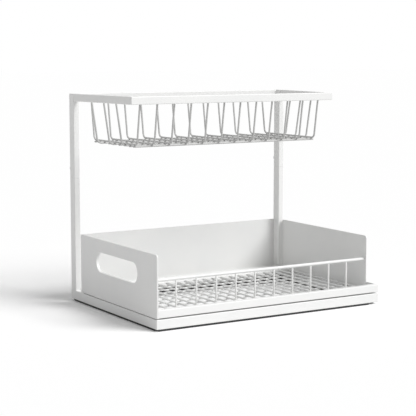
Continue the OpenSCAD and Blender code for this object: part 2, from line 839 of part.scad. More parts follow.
// Nylon roller with bevelled rims, whose hub reaches from hub0 to hub1 along its axle
module roller(x, z, d, hub0, hub1) {
    bore_r = axle_d / 2 + axle_clear;
    hub_r = axle_d / 2 + hub_wall;
    rim_r = d / 2 - roller_bevel;
    translate([x, 0, z]) rotate([-90, 0, 0]) rotate_extrude() polygon([
        [bore_r, hub0], [hub_r, hub0], [hub_r, roller_in], [rim_r, roller_in],
        [d / 2, roller_in + roller_bevel], [d / 2, roller_out - roller_bevel], [rim_r, roller_out],
        [hub_r, roller_out], [hub_r, hub1], [bore_r, hub1]
    ]);
}

module fixed_roller() {
    roller(fixed_roller_x, fixed_roller_z, fixed_roller_d, track_t + side_play, roller_out);
}

module tray_roller() {
    roller(tray_roller_cx, track_zc, tray_roller_d, roller_in, lug_in - side_play);
}

module front_left_roller() {
    color(white_plastic) placed() at_front_bar() fixed_roller();
}

module rear_left_roller() {
    color(white_plastic) placed() at_rear_bar() fixed_roller();
}

module front_right_roller() {
    color(white_plastic) placed() at_front_bar() tray_roller();
}

module rear_right_roller() {
    color(white_plastic) placed() at_rear_bar() tray_roller();
}

base_front_bar();
base_rear_bar();
base_left_bar();
base_right_bar();
anti_slip_strips();
left_post_lower();
right_post_lower();
left_post_upper();
right_post_upper();
left_post_sleeve();
right_post_sleeve();
splice_screws();
post_caps();
rear_panel();
rear_panel_screws();
rim_front_bar();
rim_rear_bar();
rim_left_arm();
rim_right_arm();
basket_cross_wires();
basket_long_wires();
basket_floor_wires();
front_track();
rear_track();
track_rivets();
fixed_roller_axles();
closing_bumpers();
opening_stops();
handle_panel();
end_panel();
tray_front_bar();
tray_rear_bar();
tray_left_bar();
tray_right_bar();
mesh_cross_wires();
mesh_long_wires();
fence_rail();
fence_uprights();
front_runner();
rear_runner();
tray_roller_axles();
front_left_roller();
rear_left_roller();
front_right_roller();
rear_right_roller();
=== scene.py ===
"""Looks of a two-tier pull-out cabinet basket in white coated steel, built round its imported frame.

Lengths are in metres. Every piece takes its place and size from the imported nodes; what a node
can't tell, such as a bend radius or the bulge of a weld, is a named value in the class of its
sub-assembly.
"""

import json
import logging
import math
from collections.abc import Callable, Sequence
from dataclasses import dataclass, field
from enum import Enum
from typing import Any, ClassVar, NamedTuple

import bmesh
import bpy
from mathutils import Euler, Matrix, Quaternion, Vector


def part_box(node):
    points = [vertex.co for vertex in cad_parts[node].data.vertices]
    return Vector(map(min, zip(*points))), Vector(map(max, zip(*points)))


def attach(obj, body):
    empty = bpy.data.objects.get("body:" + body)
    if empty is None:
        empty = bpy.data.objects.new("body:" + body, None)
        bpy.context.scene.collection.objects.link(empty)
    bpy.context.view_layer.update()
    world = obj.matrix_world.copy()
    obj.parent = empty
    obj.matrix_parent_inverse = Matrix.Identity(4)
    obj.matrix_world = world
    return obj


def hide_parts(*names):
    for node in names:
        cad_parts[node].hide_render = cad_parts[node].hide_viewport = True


LOG = logging.getLogger("cabinet_basket")
MM = 0.001
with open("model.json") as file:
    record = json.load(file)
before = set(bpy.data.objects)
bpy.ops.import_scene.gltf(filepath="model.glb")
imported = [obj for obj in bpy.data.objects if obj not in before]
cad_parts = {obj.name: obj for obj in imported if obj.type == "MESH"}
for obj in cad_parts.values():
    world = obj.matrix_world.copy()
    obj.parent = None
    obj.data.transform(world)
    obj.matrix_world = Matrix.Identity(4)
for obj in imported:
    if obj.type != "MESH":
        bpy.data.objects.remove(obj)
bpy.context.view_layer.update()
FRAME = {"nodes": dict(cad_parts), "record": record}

X_AXIS, Y_AXIS, UP = Vector((1, 0, 0)), Vector((0, 1, 0)), Vector((0, 0, 1))

# Suffix of a darker copy of the white coat on the thin wires of the upper basket: painted shade, standing in
# for the shade these wires show; they wear the same white coat.
SHADED_WIRE_LOOK = "_wire"

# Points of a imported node, and of a new mesh, that lie closer than this are one point.
SAME_IN_NODE = 0.01 * MM
SAME_IN_MESH = 0.001 * MM

Colour = tuple[float, float, float]
Path3 = list[Vector]


class Slot(Enum):
    """Material slots of the record."""

    COAT = "white_coat"
    ZINC = "zinc_steel"
    NYLON = "nylon"
    CAP = "cap_plastic"
    RUBBER = "rubber"


class Body(Enum):
    """Bodies that the new pieces ride on."""

    FRAME = "frame"
    TRAY = "tray"


class Box(NamedTuple):
    """Lowest and highest corner of a node or of one solid of a node."""

    low: Vector
    high: Vector

    @property
    def mid(self) -> Vector:
        """The middle of the box."""
        return (self.low + self.high) / 2

    @property
    def size(self) -> Vector:
        """The box's three side lengths."""
        return self.high - self.low


def box_of(node: str) -> Box:
    """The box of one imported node."""
    return Box(*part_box(node))


def solids(node: str) -> list[Box]:
    """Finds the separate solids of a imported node.

    Args:
        node: Name of the node, such as a group of wires or screws.

    Returns:
        The box of each solid, in order of X, then Y, then Z.
    """
    mesh = bmesh.new()
    mesh.from_mesh(FRAME["nodes"][node].data)
    bmesh.ops.remove_doubles(mesh, verts=mesh.verts, dist=SAME_IN_NODE)
    left = set(mesh.verts)
    found = []
    while left:
        front = [left.pop()]
        island = list(front)
        while front:
            near = [e.other_vert(v) for v in front for e in v.link_edges]
            front = [v for v in dict.fromkeys(near) if v in left]
            left.difference_update(front)
            island += front
        low = Vector(min(v.co[axis] for v in island) for axis in range(3))
        high = Vector(max(v.co[axis] for v in island) for axis in range(3))
        found.append(Box(low, high))
    mesh.free()
    return sorted(found, key=lambda b: [round(x / MM, 1) for x in b.mid])


# ---- Shader trees ----


class Graph:
    """Adds and links the nodes of one shader tree."""

    def __init__(self, tree: bpy.types.NodeTree) -> None:
        """Starts on an empty tree."""
        self.tree = tree
        tree.nodes.clear()

    def add(self, kind: str, inputs: dict[str, Any] | None = None, **settings: Any) -> bpy.types.Node:
        """Adds a node.

        Args:
            kind: The node's type, such as ShaderNodeTexNoise.
            inputs: What each named socket gets: another node's output or a constant.
            settings: The node's own properties.

        Returns:
            The new node.
        """
        node = self.tree.nodes.new(kind)
        for name, value in settings.items():
            setattr(node, name, value)
        for name, value in (inputs or {}).items():
            self.feed(value, node.inputs[name])
        return node

    def feed(self, value: Any, socket: bpy.types.NodeSocket) -> None:
        """Links an output to a socket, or sets the socket to a constant."""
        if isinstance(value, bpy.types.NodeSocket):
            self.tree.links.new(value, socket)
        else:
            socket.default_value = value

    def maths(self, operation: str, a: Any, b: Any = 0.0, clamp: bool = False) -> bpy.types.NodeSocket:
        """One step of arithmetic on two values."""
        node = self.add("ShaderNodeMath", operation=operation, use_clamp=clamp)
        self.feed(a, node.inputs[0])
        self.feed(b, node.inputs[1])
        return node.outputs[0]

    def vector(self, operation: str, a: Any, b: Any) -> bpy.types.Node:
        """One step of arithmetic on two vectors."""
        node = self.add("ShaderNodeVectorMath", operation=operation)
        self.feed(a, node.inputs[0])
        self.feed(b, node.inputs[1])
        return node

    def place(self) -> bpy.types.NodeSocket:
        """The place on the piece, in metres."""
        return self.add("ShaderNodeTexCoord").outputs["Object"]

    def normal(self) -> bpy.types.NodeSocket:
        """The direction that the surface faces."""
        return self.add("ShaderNodeNewGeometry").outputs["Normal"]

    def noise(self, place: Any, scale: Any, detail: float = 2.0) -> bpy.types.NodeSocket:
        """The value of a noise texture."""
        node = self.add("ShaderNodeTexNoise", {"Vector": place, "Scale": scale, "Detail": detail})
        return node.outputs["Fac"]

    def seen(self) -> bpy.types.NodeSocket:
        """1 where the camera sees the surface, also in gloss or through glass, and 0 elsewhere."""
        rays = self.add("ShaderNodeLightPath")
        seen = self.maths("MAXIMUM", rays.outputs["Is Camera Ray"], rays.outputs["Is Glossy Ray"])
        return self.maths("MAXIMUM", seen, rays.outputs["Is Transmission Ray"])

    def ramp(self, value: Any, low: float, high: float, to_low: float = 0.0,
             to_high: float = 1.0) -> bpy.types.NodeSocket:
        """Maps a value smoothly from one span to another."""
        node = self.add("ShaderNodeMapRange", {"Value": value, "From Min": low, "From Max": high,
                        "To Min": to_low, "To Max": to_high}, interpolation_type="SMOOTHSTEP")
        return node.outputs["Result"]

    def blend(self, share: Any, a: Any, b: Any) -> bpy.types.NodeSocket:
        """Mixes two colours: a where share is 0 and b where it is 1."""
        node = self.add("ShaderNodeMix", data_type="RGBA")
        sockets = [s for s in node.inputs if s.type == "RGBA"]
        self.feed(share, node.inputs[0])
        self.feed(a, sockets[0])
        self.feed(b, sockets[1])
        return next(s for s in node.outputs if s.type == "RGBA")


def rgba(colour: Colour) -> tuple[float, float, float, float]:
    """A colour with full opacity."""
    return (*colour, 1.0)


class Effects:
    """Shader node groups that several finishes share.

    Attributes:
        grain_share: Share of the grain in the relief; the ripples make up the rest.
        cloud_span: Values of the noise between which the tone changes.
        fleck_span: Distances from a fleck's middle between which it rises.
        bend_span: Cosines of an edge's bend between which its mark grows.
        level_span: Heights of the normal between which dust begins to stay.
        patch_span: Values of the noise between which dust gathers.
    """

    grain_share: ClassVar[float] = 0.35
    cloud_span: ClassVar[tuple[float, float]] = (0.3, 0.7)
    fleck_span: ClassVar[tuple[float, float]] = (0.12, 0.04)
    bend_span: ClassVar[tuple[float, float]] = (0.995, 0.9)
    level_span: ClassVar[tuple[float, float]] = (0.5, 1.0)
    patch_span: ClassVar[tuple[float, float]] = (0.35, 0.75)

    def __init__(self) -> None:
        """Builds each group once."""
        self.surface = self.surface_group()
        self.edges = self.edge_group()
        self.dust = self.dust_group()

    @staticmethod
    def start(name: str, inputs: dict[str, float], outputs: Sequence[str]) -> tuple[
            Graph, bpy.types.Node, bpy.types.Node]:
        """Makes an empty group with its sockets.

        Args:
            name: The group's name.
            inputs: Default value of each input, by name.
            outputs: Names of the value outputs.

        Returns:
            The graph to build in, the group's input node and its output node.
        """
        tree = bpy.data.node_groups.new(name, "ShaderNodeTree")
        for socket, value in inputs.items():
            made = tree.interface.new_socket(name=socket, in_out="INPUT", socket_type="NodeSocketFloat")
            made.default_value = value
        for socket in outputs:
            tree.interface.new_socket(name=socket, in_out="OUTPUT", socket_type="NodeSocketFloat")
        graph = Graph(tree)
        return graph, graph.add("NodeGroupInput"), graph.add("NodeGroupOutput")

    def surface_group(self) -> bpy.types.NodeTree:
        """Fine relief of a surface, and slow changes of tone across it."""
        graph, given, out = self.start(
            "surface_relief", {"Grain": 900.0, "Stretch": 1.0, "Ripple": 300.0, "Cloud": 14.0},
            ["Height", "Tone", "Fleck"])
        place = graph.place()
        scale = graph.add("ShaderNodeCombineXYZ", {"X": given.outputs["Stretch"], "Y": 1.0, "Z": 1.0})
        along = graph.vector("MULTIPLY", place, scale.outputs[0]).outputs[0]
        grain = graph.noise(along, given.outputs["Grain"], detail=3.0)
        ripple = graph.noise(along, given.outputs["Ripple"], detail=1.0)
        cloud = graph.noise(place, given.outputs["Cloud"], detail=4.0)
        fleck = graph.add("ShaderNodeTexVoronoi", {"Vector": place, "Scale": given.outputs["Ripple"]})
        height = graph.maths("ADD", graph.maths("MULTIPLY", grain, self.grain_share),
                             graph.maths("MULTIPLY", ripple, 1 - self.grain_share))
        graph.feed(height, out.inputs["Height"])
        graph.feed(graph.ramp(cloud, *self.cloud_span), out.inputs["Tone"])
        graph.feed(graph.ramp(fleck.outputs["Distance"], *self.fleck_span), out.inputs["Fleck"])
        return graph.tree

    def edge_group(self) -> bpy.types.NodeTree:
        """Mask that is 1 on sharp edges and 0 on flat faces, broken up by noise."""
        graph, given, out = self.start("edge_mask", {"Width": 0.6 * MM, "Break": 60.0}, ["Mask"])
        rounded = graph.add("ShaderNodeBevel", {"Radius": given.outputs["Width"]}, samples=4)
        facing = graph.vector("DOT_PRODUCT", rounded.outputs[0], graph.normal())
        noise = graph.noise(graph.place(), given.outputs["Break"])
        bend = graph.ramp(facing.outputs["Value"], *self.bend_span)
        graph.feed(graph.maths("MULTIPLY", bend, noise), out.inputs["Mask"])
        return graph.tree

    def dust_group(self) -> bpy.types.NodeTree:
        """Mask of the fine dust that settles on what faces up, in soft patches."""
        graph, given, out = self.start("settled_dust", {"Amount": 0.3, "Patch": 30.0}, ["Mask"])
        normal = graph.add("ShaderNodeSeparateXYZ", {"Vector": graph.normal()})
        up = graph.ramp(normal.outputs["Z"], *self.level_span)
        noise = graph.noise(graph.place(), given.outputs["Patch"], detail=6.0)
        patch = graph.ramp(noise, *self.patch_span)
        mask = graph.maths("MULTIPLY", graph.maths("MULTIPLY", up, patch), given.outputs["Amount"])
        graph.feed(mask, out.inputs["Mask"])
        return graph.tree


# ---- Finishes ----


@dataclass(frozen=True)
class Finish:
    """What every finish has: its colours, gloss and relief.

    Attributes:
        slot: The record's slot that the finish belongs to.
        colour: Main colour, linear.
        shade: Colour of the slow patches, linear.
        worn: Colour of the sharp edges, linear.
        rough: Roughness of the calmest and of the roughest places.
        grain: How many grains lie in a metre.
        ripple: How many of the coarser ripples lie in a metre.
        relief: Depth of the relief.
        stretch: Squeezes the relief along X; below 1 it runs in lines along X.
        edge: Width of the mark on sharp edges.
        dust: Share of dust on what faces up.
        suffix: What sets the material's name apart from that of another finish of its slot.
        ior: Index of refraction.
        relief_span: Heights of the relief between which the roughness changes.
        dust_colour: Colour of the dust, linear.
        dust_rough: How much rougher full dust makes the surface.
    """

    slot: Slot
    colour: Colour
    shade: Colour
    worn: Colour
    rough: tuple[float, float]
    grain: float
    ripple: float
    relief: float
    stretch: float = 1.0
    edge: float = 0.5 * MM
    dust: float = 0.2
    suffix: str = ""
    ior: ClassVar[float] = 1.5
    relief_span: ClassVar[tuple[float, float]] = (0.35, 0.65)
    dust_colour: ClassVar[Colour] = (0.62, 0.6, 0.57)
    dust_rough: ClassVar[float] = 0.2

    def dress(self, effects: Effects) -> bpy.types.Material:
        """Builds the finish's material.

        Args:
            effects: The shared node groups.

        Returns:
            The new material.
        """
        material = bpy.data.materials.new(self.slot.value + self.suffix)
        material.use_nodes = True
        graph = Graph(material.node_tree)
        relief = graph.add("ShaderNodeGroup", node_tree=effects.surface)
        edges = graph.add("ShaderNodeGroup", node_tree=effects.edges)
        dust = graph.add("ShaderNodeGroup", node_tree=effects.dust)
        for socket, value in (("Grain", self.grain), ("Stretch", self.stretch), ("Ripple", self.ripple)):
            relief.inputs[socket].default_value = value
        edges.inputs["Width"].default_value = self.edge
        dust.inputs["Amount"].default_value = self.dust
        colour = graph.blend(relief.outputs["Tone"], rgba(self.colour), rgba(self.shade))
        colour = graph.blend(edges.outputs["Mask"], colour, rgba(self.worn))
        colour = graph.blend(dust.outputs["Mask"], colour, rgba(self.dust_colour))
        rough = graph.ramp(relief.outputs["Height"], *self.relief_span, *self.rough)
        dulled = graph.maths("MULTIPLY", dust.outputs["Mask"], self.dust_rough)
        rough = graph.maths("ADD", rough, dulled, clamp=True)
        bump = graph.add("ShaderNodeBump", {"Height": self.height(graph, relief), "Distance": self.relief,
                         "Strength": 1.0})
        shader = graph.add("ShaderNodeBsdfPrincipled", {"Base Color": colour, "Roughness": rough,
                           "Normal": bump.outputs[0]})
        self.tune(shader)
        out = graph.add("ShaderNodeOutputMaterial")
        graph.feed(shader.outputs[0], out.inputs["Surface"])
        return material

    def height(self, graph: Graph, relief: bpy.types.Node) -> bpy.types.NodeSocket:
        """The height that the bump follows."""
        return relief.outputs["Height"]

    def tune(self, shader: bpy.types.Node) -> None:
        """Sets the shader's constants."""
        shader.inputs["IOR"].default_value = self.ior


@dataclass(frozen=True)
class PowderCoat(Finish):
    """White baked powder: a low orange peel under a thin gloss.

    Attributes:
        gloss: Weight of the clear gloss that the powder flows out to.
        gloss_rough: Roughness of that gloss.
    """

    gloss: ClassVar[float] = 0.15
    gloss_rough: ClassVar[float] = 0.25

    def tune(self, shader: bpy.types.Node) -> None:
        """Adds the gloss to the shader's constants."""
        super().tune(shader)
        shader.inputs["Coat Weight"].default_value = self.gloss
        shader.inputs["Coat Roughness"].default_value = self.gloss_rough


@dataclass(frozen=True)
class ZincPlate(Finish):
    """Bright zinc over drawn steel, with fine lines."""

    def tune(self, shader: bpy.types.Node) -> None:
        """Makes the surface a metal."""
        shader.inputs["Metallic"].default_value = 1.0


@dataclass(frozen=True)
class Moulding(Finish):
    """Moulded plastic or rubber with the fine spark texture of its mould.

    Attributes:
        pit: Depth of a pit as a share of the relief.
    """

    pit: ClassVar[float] = 0.5

    def height(self, graph: Graph, relief: bpy.types.Node) -> bpy.types.NodeSocket:
        """Adds the pits of the mould's texture."""
        pits = graph.maths("MULTIPLY", relief.outputs["Fleck"], self.pit)
        return graph.maths("SUBTRACT", relief.outputs["Height"], pits)


FINISHES = (
    PowderCoat(Slot.COAT, (0.86, 0.86, 0.85), (0.835, 0.838, 0.832), (0.79, 0.79, 0.785), (0.3, 0.42),
               grain=1800, ripple=420, relief=0.03 * MM, dust=0.04),
    # A darker copy of the white coat: painted shade for the upper basket's thin wires, not a different coat.
    PowderCoat(Slot.COAT, (0.56, 0.56, 0.55), (0.51, 0.51, 0.505), (0.46, 0.46, 0.455), (0.34, 0.46),
               grain=1800, ripple=420, relief=0.02 * MM, dust=0.04, suffix=SHADED_WIRE_LOOK),
    ZincPlate(Slot.ZINC, (0.62, 0.63, 0.65), (0.53, 0.54, 0.55), (0.74, 0.74, 0.74), (0.22, 0.42),
              grain=2600, ripple=900, relief=0.01 * MM, stretch=0.15, edge=0.25 * MM, dust=0.1),
    Moulding(Slot.NYLON, (0.8, 0.8, 0.77), (0.74, 0.74, 0.71), (0.84, 0.84, 0.82), (0.42, 0.58),
             grain=3000, ripple=1300, relief=0.02 * MM, edge=0.3 * MM),
    Moulding(Slot.CAP, (0.84, 0.84, 0.83), (0.81, 0.81, 0.8), (0.86, 0.86, 0.86), (0.28, 0.4),
             grain=3600, ripple=1500, relief=0.015 * MM, edge=0.3 * MM, dust=0.05),
    # Near-black rubber of the strips under the frame, which also serve as a painted contact shadow.
    Moulding(Slot.RUBBER, (0.02, 0.02, 0.021), (0.03, 0.03, 0.03), (0.06, 0.06, 0.06), (0.65, 0.9),
             grain=2400, ripple=1100, relief=0.05 * MM, edge=0.3 * MM, dust=0.35),
)


# ---- Shapes ----


def fillet(corners: Sequence[Vector], radius: float | Sequence[float], steps: int = 8) -> Path3:
    """Rounds the inner corners of a line of straight stretches.

    Args:
        corners: The line's ends and corners.
        radius: Bend radius at each inner corner, or one for all.
        steps: Straight pieces in each bend.

    Returns:
        The points of the rounded line.
    """
    radii = radius if isinstance(radius, Sequence) else [radius] * (len(corners) - 2)
    line = [corners[0].copy()]
    for before, corner, after, bend in zip(corners, corners[1:], corners[2:], radii):
        back = (before - corner).normalized()
        on = (after - corner).normalized()
        half = back.angle(on) / 2
        centre = corner + (back + on).normalized() * (bend / math.sin(half))
        start = corner + back * (bend / math.tan(half)) - centre
        end = corner + on * (bend / math.tan(half)) - centre
        hinge, swing = start.cross(end), start.angle(end)
        line += [centre + Quaternion(hinge, swing * i / steps) @ start for i in range(steps + 1)]
    line.append(corners[-1].copy())
    return line


def spread(path: Sequence[Vector], step: float) -> Path3:
    """Divides a line into even steps no longer than the given one."""
    line = [path[0].copy()]
    for a, b in zip(path, path[1:]):
        parts = max(1, math.ceil((b - a).length / step))
        line += [a.lerp(b, (i + 1) / parts) for i in range(parts)]
    return line


def oval(rx: float, ry: float, sides: int) -> list[tuple[float, float]]:
    """Points of an ellipse, anticlockwise."""
    turns = [2 * math.pi * i / sides for i in range(sides)]
    return [(rx * math.cos(t), ry * math.sin(t)) for t in turns]


def round_rectangle(w: float, h: float, r: float, steps: int = 5) -> list[tuple[float, float]]:
    """Points of a rectangle with round corners, centred and anticlockwise."""
    points = []
    for quarter, (sx, sy) in enumerate(((1, 1), (-1, 1), (-1, -1), (1, -1))):
        for i in range(steps + 1):
            turn = math.pi / 2 * (quarter + i / steps)
            points.append((sx * (w / 2 - r) + r * math.cos(turn), sy * (h / 2 - r) + r * math.sin(turn)))
    return points


def part_of(a: Vector, b: Vector, span: tuple[float, float]) -> Path3:
    """The part of a straight line between two shares of its length."""
    return [a.lerp(b, share) for share in span]


class Shape:
    """Points and faces of one piece, gathered before they become a mesh.

    Attributes:
        end_soft: Rounding of a rod's ends as a share of its radius.
        end_steps: Steps in that rounding.
        bead_sides: Points round a weld bead.
        bead_waist: Radius of a bead between two ripples as a share of its largest.
    """

    end_soft: ClassVar[float] = 0.3
    end_steps: ClassVar[int] = 3
    bead_sides: ClassVar[int] = 8
    bead_waist: ClassVar[float] = 0.86

    def __init__(self) -> None:
        """Starts empty."""
        self.points: Path3 = []
        self.faces: list[tuple[int, ...]] = []

    def skin(self, rings: Sequence[Sequence[Vector]], loop: bool = True, caps: bool = True) -> None:
        """Joins rings of equally many points by quads.

        Args:
            rings: The rings, in order.
            loop: Whether each ring closes on itself.
            caps: Whether the first and last ring are closed by a face.
        """
        base, count = len(self.points), len(rings[0])
        for ring in rings:
            self.points += [Vector(p) for p in ring]
        for row in range(len(rings) - 1):
            for i in range(count if loop else count - 1):
                a, b = base + row * count + i, base + row * count + (i + 1) % count
                self.faces.append((a, b, b + count, a + count))
        if caps:
            self.faces.append(tuple(base + i for i in reversed(range(count))))
            self.faces.append(tuple(base + (len(rings) - 1) * count + i for i in range(count)))

    def rod(self, path: Sequence[Vector], radius: float, sides: int = 16,
            swell: Callable[[int], float] | None = None) -> None:
        """Adds a round rod with softened ends.

        Args:
            path: The rod's middle line.
            radius: The rod's radius.
            sides: Points round the rod.
            swell: Gives the radius at each point of the path as a share of the rod's, or None.
        """
        soft, turns = self.end_soft * radius, self.end_steps
        shares = [swell(i) if swell else 1.0 for i in range(len(path))]
        forward = [(b - a).normalized() for a, b in zip(path, path[1:])]
        tangents = [forward[0]] + [(a + b).normalized() for a, b in zip(forward, forward[1:])] + [forward[-1]]
        side = tangents[0].orthogonal().normalized()
        circle = oval(1, 1, sides)
        rings = []
        for i, (point, tangent) in enumerate(zip(path, tangents)):
            if i:
                side = tangents[i - 1].rotation_difference(tangent) @ side
            across = tangent.cross(side)
            end = -1 if i == 0 else 1 if i == len(path) - 1 else 0
            stations = [(0.0, shares[i] * radius)]
            if end:
                bend = [math.pi / 2 * k / turns for k in range(turns + 1)]
                stations = [(end * soft * (math.sin(t) - 1), shares[i] * (radius - soft + soft * math.cos(t)))
                            for t in bend][::end]
            for shift, r in stations:
                rings.append([point + tangent * shift + (side * x + across * y) * r for x, y in circle])
        self.skin(rings)

    def bead(self, path: Sequence[Vector], radius: float, pitch: float = 0.9 * MM) -> None:
        """Adds a weld bead whose ripples follow each other along the path."""
        fine = spread(path, pitch / 2)
        self.rod(fine, radius, self.bead_sides, lambda i: 1.0 if i % 2 else self.bead_waist)

    def ring_bead(self, ring: Sequence[Vector], radius: float) -> None:
        """Adds a weld bead that closes on itself."""
        self.bead([*ring, ring[0], ring[1]], radius)

    def nugget(self, place: Vector, size: Sequence[float]) -> None:
        """Adds the small flattened lump of metal that a spot weld squeezes out."""
        rows, sides = 5, 10
        rings = []
        for row in range(rows):
            tilt = math.pi * (row + 0.5) / rows - math.pi / 2
            rings.append([place + Vector((math.cos(tilt) * x * size[0], math.cos(tilt) * y * size[1],
                                          math.sin(tilt) * size[2])) for x, y in oval(1, 1, sides)])
        self.skin(rings)

    def prism(self, outline: Sequence[tuple[float, float]], stations: Sequence[tuple[Vector, float]],
              across: Vector, up: Vector) -> None:
        """Adds a solid whose outline is carried from station to station.

        Args:
            outline: Points of the section.
            stations: Place and size factor of the section at each station.
            across: Direction of the outline's first axis.
            up: Direction of its second axis.
        """
        self.skin([[place + (across * x + up * y) * size for x, y in outline] for place, size in stations])

    def piece(self, name: str, body: Body, slot: Slot, replaces: Sequence[str] = (),
              sharp: float = 40.0, look: str = "") -> bpy.types.Object:
        """Makes the gathered mesh an object of the model.

        Args:
            name: The piece's name.
            body: The body that it rides on.
            slot: Its finish.
            replaces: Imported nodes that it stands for.
            sharp: Edges that bend by more than this many degrees stay crisp.
            look: Suffix of the finish, where its slot has more than one.

        Returns:
            The new object.
        """
        mesh = bpy.data.meshes.new(name)
        mesh.from_pydata([tuple(p) for p in self.points], [], self.faces)
        made = bmesh.new()
        made.from_mesh(mesh)
        bmesh.ops.remove_doubles(made, verts=made.verts, dist=SAME_IN_MESH)
        bmesh.ops.recalc_face_normals(made, faces=made.faces)
        made.to_mesh(mesh)
        made.free()
        mesh.validate()
        mesh.shade_smooth()
        mesh.set_sharp_from_angle(angle=math.radians(sharp))
        mesh.materials.append(bpy.data.materials[slot.value + look])
        obj = bpy.data.objects.new(name, mesh)
        bpy.context.scene.collection.objects.link(obj)
        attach(obj, body.value)
        if replaces:
            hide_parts(*replaces)
        LOG.info("%s: %d points, on %s", name, len(mesh.vertices), body.value)
        return obj


# ---- Sub-assemblies ----


@dataclass
class BaseFrame:
    """The closed frame on the floor, with its rubber strips, which also serve as a painted contact shadow,
    and corner welds.

    Attributes:
        rib_count: Ribs under each strip.
        rib_depth: Depth of the grooves between the ribs.
        rib_steps: Straight pieces in the section of each rib.
        end_soft: Length over which a strip draws in at its ends.
        end_size: Size of a strip's end face as a share of its section.
        seam: Radius of the flattened bead on a mitre.
        seam_span: Shares of the mitre's length between which that bead runs.
        proud: How far it stands out of the tube.
        corner_bead: Radius of the bead down an inner corner.
        corner_end: Distance of that bead's ends from the edges of the bars.
    """

    rib_count: int = 3
    rib_depth: float = 0.5 * MM
    rib_steps: int = 8
    end_soft: float = 0.5 * MM
    end_size: float = 0.86
    seam: float = 1.4 * MM
    seam_span: tuple[float, float] = (0.1, 0.96)
    proud: float = 0.18 * MM
    corner_bead: float = 0.8 * MM
    corner_end: float = 0.6 * MM

    def strips(self) -> None:
        """Ribbed strips of black rubber under the four bars; they are a real part and also serve as a painted
        contact shadow along the frame's foot.
        """
        shape = Shape()
        for box in solids("anti_slip_strips"):
            along = X_AXIS if box.size.x > box.size.y else Y_AXIS
            across = UP.cross(along)
            length, width = box.size.dot(along), abs(box.size.dot(across))
            ends = [(-length / 2, self.end_size), (self.end_soft - length / 2, 1),
                    (length / 2 - self.end_soft, 1), (length / 2, self.end_size)]
            stations = [(box.mid + along * place, size) for place, size in ends]
            shape.prism(self.ribbed(width, box.size.z), stations, across, UP)
        shape.piece("rubber_strips_and_shadow_line", Body.FRAME, Slot.RUBBER, ["anti_slip_strips"])

    def ribbed(self, width: float, height: float) -> list[tuple[float, float]]:
        """Section of a strip: flat on top, round ribs underneath."""
        steps = self.rib_steps * self.rib_count
        lower = []
        for i in range(steps + 1):
            share = i / steps
            wave = (1 - math.cos(2 * math.pi * self.rib_count * share)) / 2
            lower.append((width * (share - 0.5), -height / 2 + self.rib_depth * (1 - wave)))
        return [*lower, (width / 2, height / 2), (-width / 2, height / 2)]

    def corner_seams(self) -> None:
        """Ground-down weld beads on the mitres of the four corners."""
        front, rear = box_of("base_front_bar"), box_of("base_rear_bar")
        left, right = box_of("base_left_bar"), box_of("base_right_bar")
        shape = Shape()
        inner = [(x, y) for y in (front.high.y, rear.low.y) for x in (left.high.x, right.low.x)]
        outer = [(x, y) for y in (front.low.y, rear.high.y) for x in (left.low.x, right.high.x)]
        sink = self.seam - self.proud
        corner_z = (front.low.z + self.corner_end, front.high.z - self.corner_end)
        for (x0, y0), (x1, y1) in zip(outer, inner):
            for z in (front.high.z - sink, front.low.z + sink):
                shape.bead(part_of(Vector((x0, y0, z)), Vector((x1, y1, z)), self.seam_span), self.seam)
            shape.bead([Vector((x1, y1, z)) for z in corner_z], self.corner_bead)
        shape.piece("base_corner_welds", Body.FRAME, Slot.COAT)

    def build(self) -> None:
        """Builds the sub-assembly's own pieces."""
        self.strips()
        self.corner_seams()


@dataclass(frozen=True)
class PanScrew:
    """A screw with a pan head and a hexagon socket, whose head faces the rear.

    Attributes:
        head: Height of the head.
        shank: Radius of the shank.
        point: Length of the shank's drawn-in end, and its radius as a share of the shank's.
        under: Height of the rounding under the head, and its radius as a share of the head's.
        dome: Share of the head's height that is domed.
        crown: Share of the way to the socket that the dome draws in.
        socket: Width of the hexagon, across its flats.
        lip: Depth of the socket's lip, and its radius as a share of the hexagon's width.
        deep: Depth of the socket.
        middle: Width of the smallest ring on the socket's floor as a share of the hexagon's.
        sides: Points round the screw.
        turns: Steps in the dome.
    """

    head: float = 2 * MM
    shank: float = 2 * MM
    point: tuple[float, float] = (0.6 * MM, 0.7)
    under: tuple[float, float] = (0.2 * MM, 0.96)
    dome: float = 0.75
    crown: float = 0.9
    socket: float = 2.5 * MM
    lip: tuple[float, float] = (0.15 * MM, 0.72)
    deep: float = 1.1 * MM
    middle: float = 0.2
    sides: int = 36
    turns: int = 6

    def rows(self, end: float, face: float, radius: float) -> list[tuple[float, bool, float]]:
        """The rings of the screw, from its end to the floor of its socket.

        Args:
            end: Where the shank ends, along Y.
            face: Where the head's face lies, along Y.
            radius: Radius of the head.

        Returns:
            For each ring, its place along Y, whether it is the hexagon, and its size.
        """
        foot = face - self.head
        rows = [(end, False, self.shank * self.point[1]), (end + self.point[0], False, self.shank),
                (foot, False, self.shank), (foot, False, radius * self.under[1]),
                (foot + self.under[0], False, radius)]
        for i in range(self.turns):
            turn = math.pi / 2 * i / self.turns
            rows.append((face - self.head * self.dome * (1 - math.sin(turn)), False,
                         radius - (radius - self.socket) * (1 - math.cos(turn)) * self.crown))
        rows.append((face, False, self.socket * self.lip[1]))
        return rows + [(face - self.lip[0], True, 1.0), (face - self.deep, True, 1.0),
                       (face - self.deep, True, self.middle)]

    def add(self, shape: Shape, box: Box) -> None:
        """Adds the screw that fills a packed screw's box."""
        turns = [2 * math.pi * i / self.sides for i in range(self.sides)]
        hexagon = [self.socket / 2 / math.cos(t % (math.pi / 3) - math.pi / 6) for t in turns]
        rings = []
        for y, hexagonal, size in self.rows(box.low.y, box.high.y, box.size.x / 2):
            radii = [share * size for share in (hexagon if hexagonal else [1.0] * self.sides)]
            rings.append([Vector((box.mid.x + math.cos(t) * r, y, box.mid.z + math.sin(t) * r))
                          for t, r in zip(turns, radii)])
        shape.skin(rings)


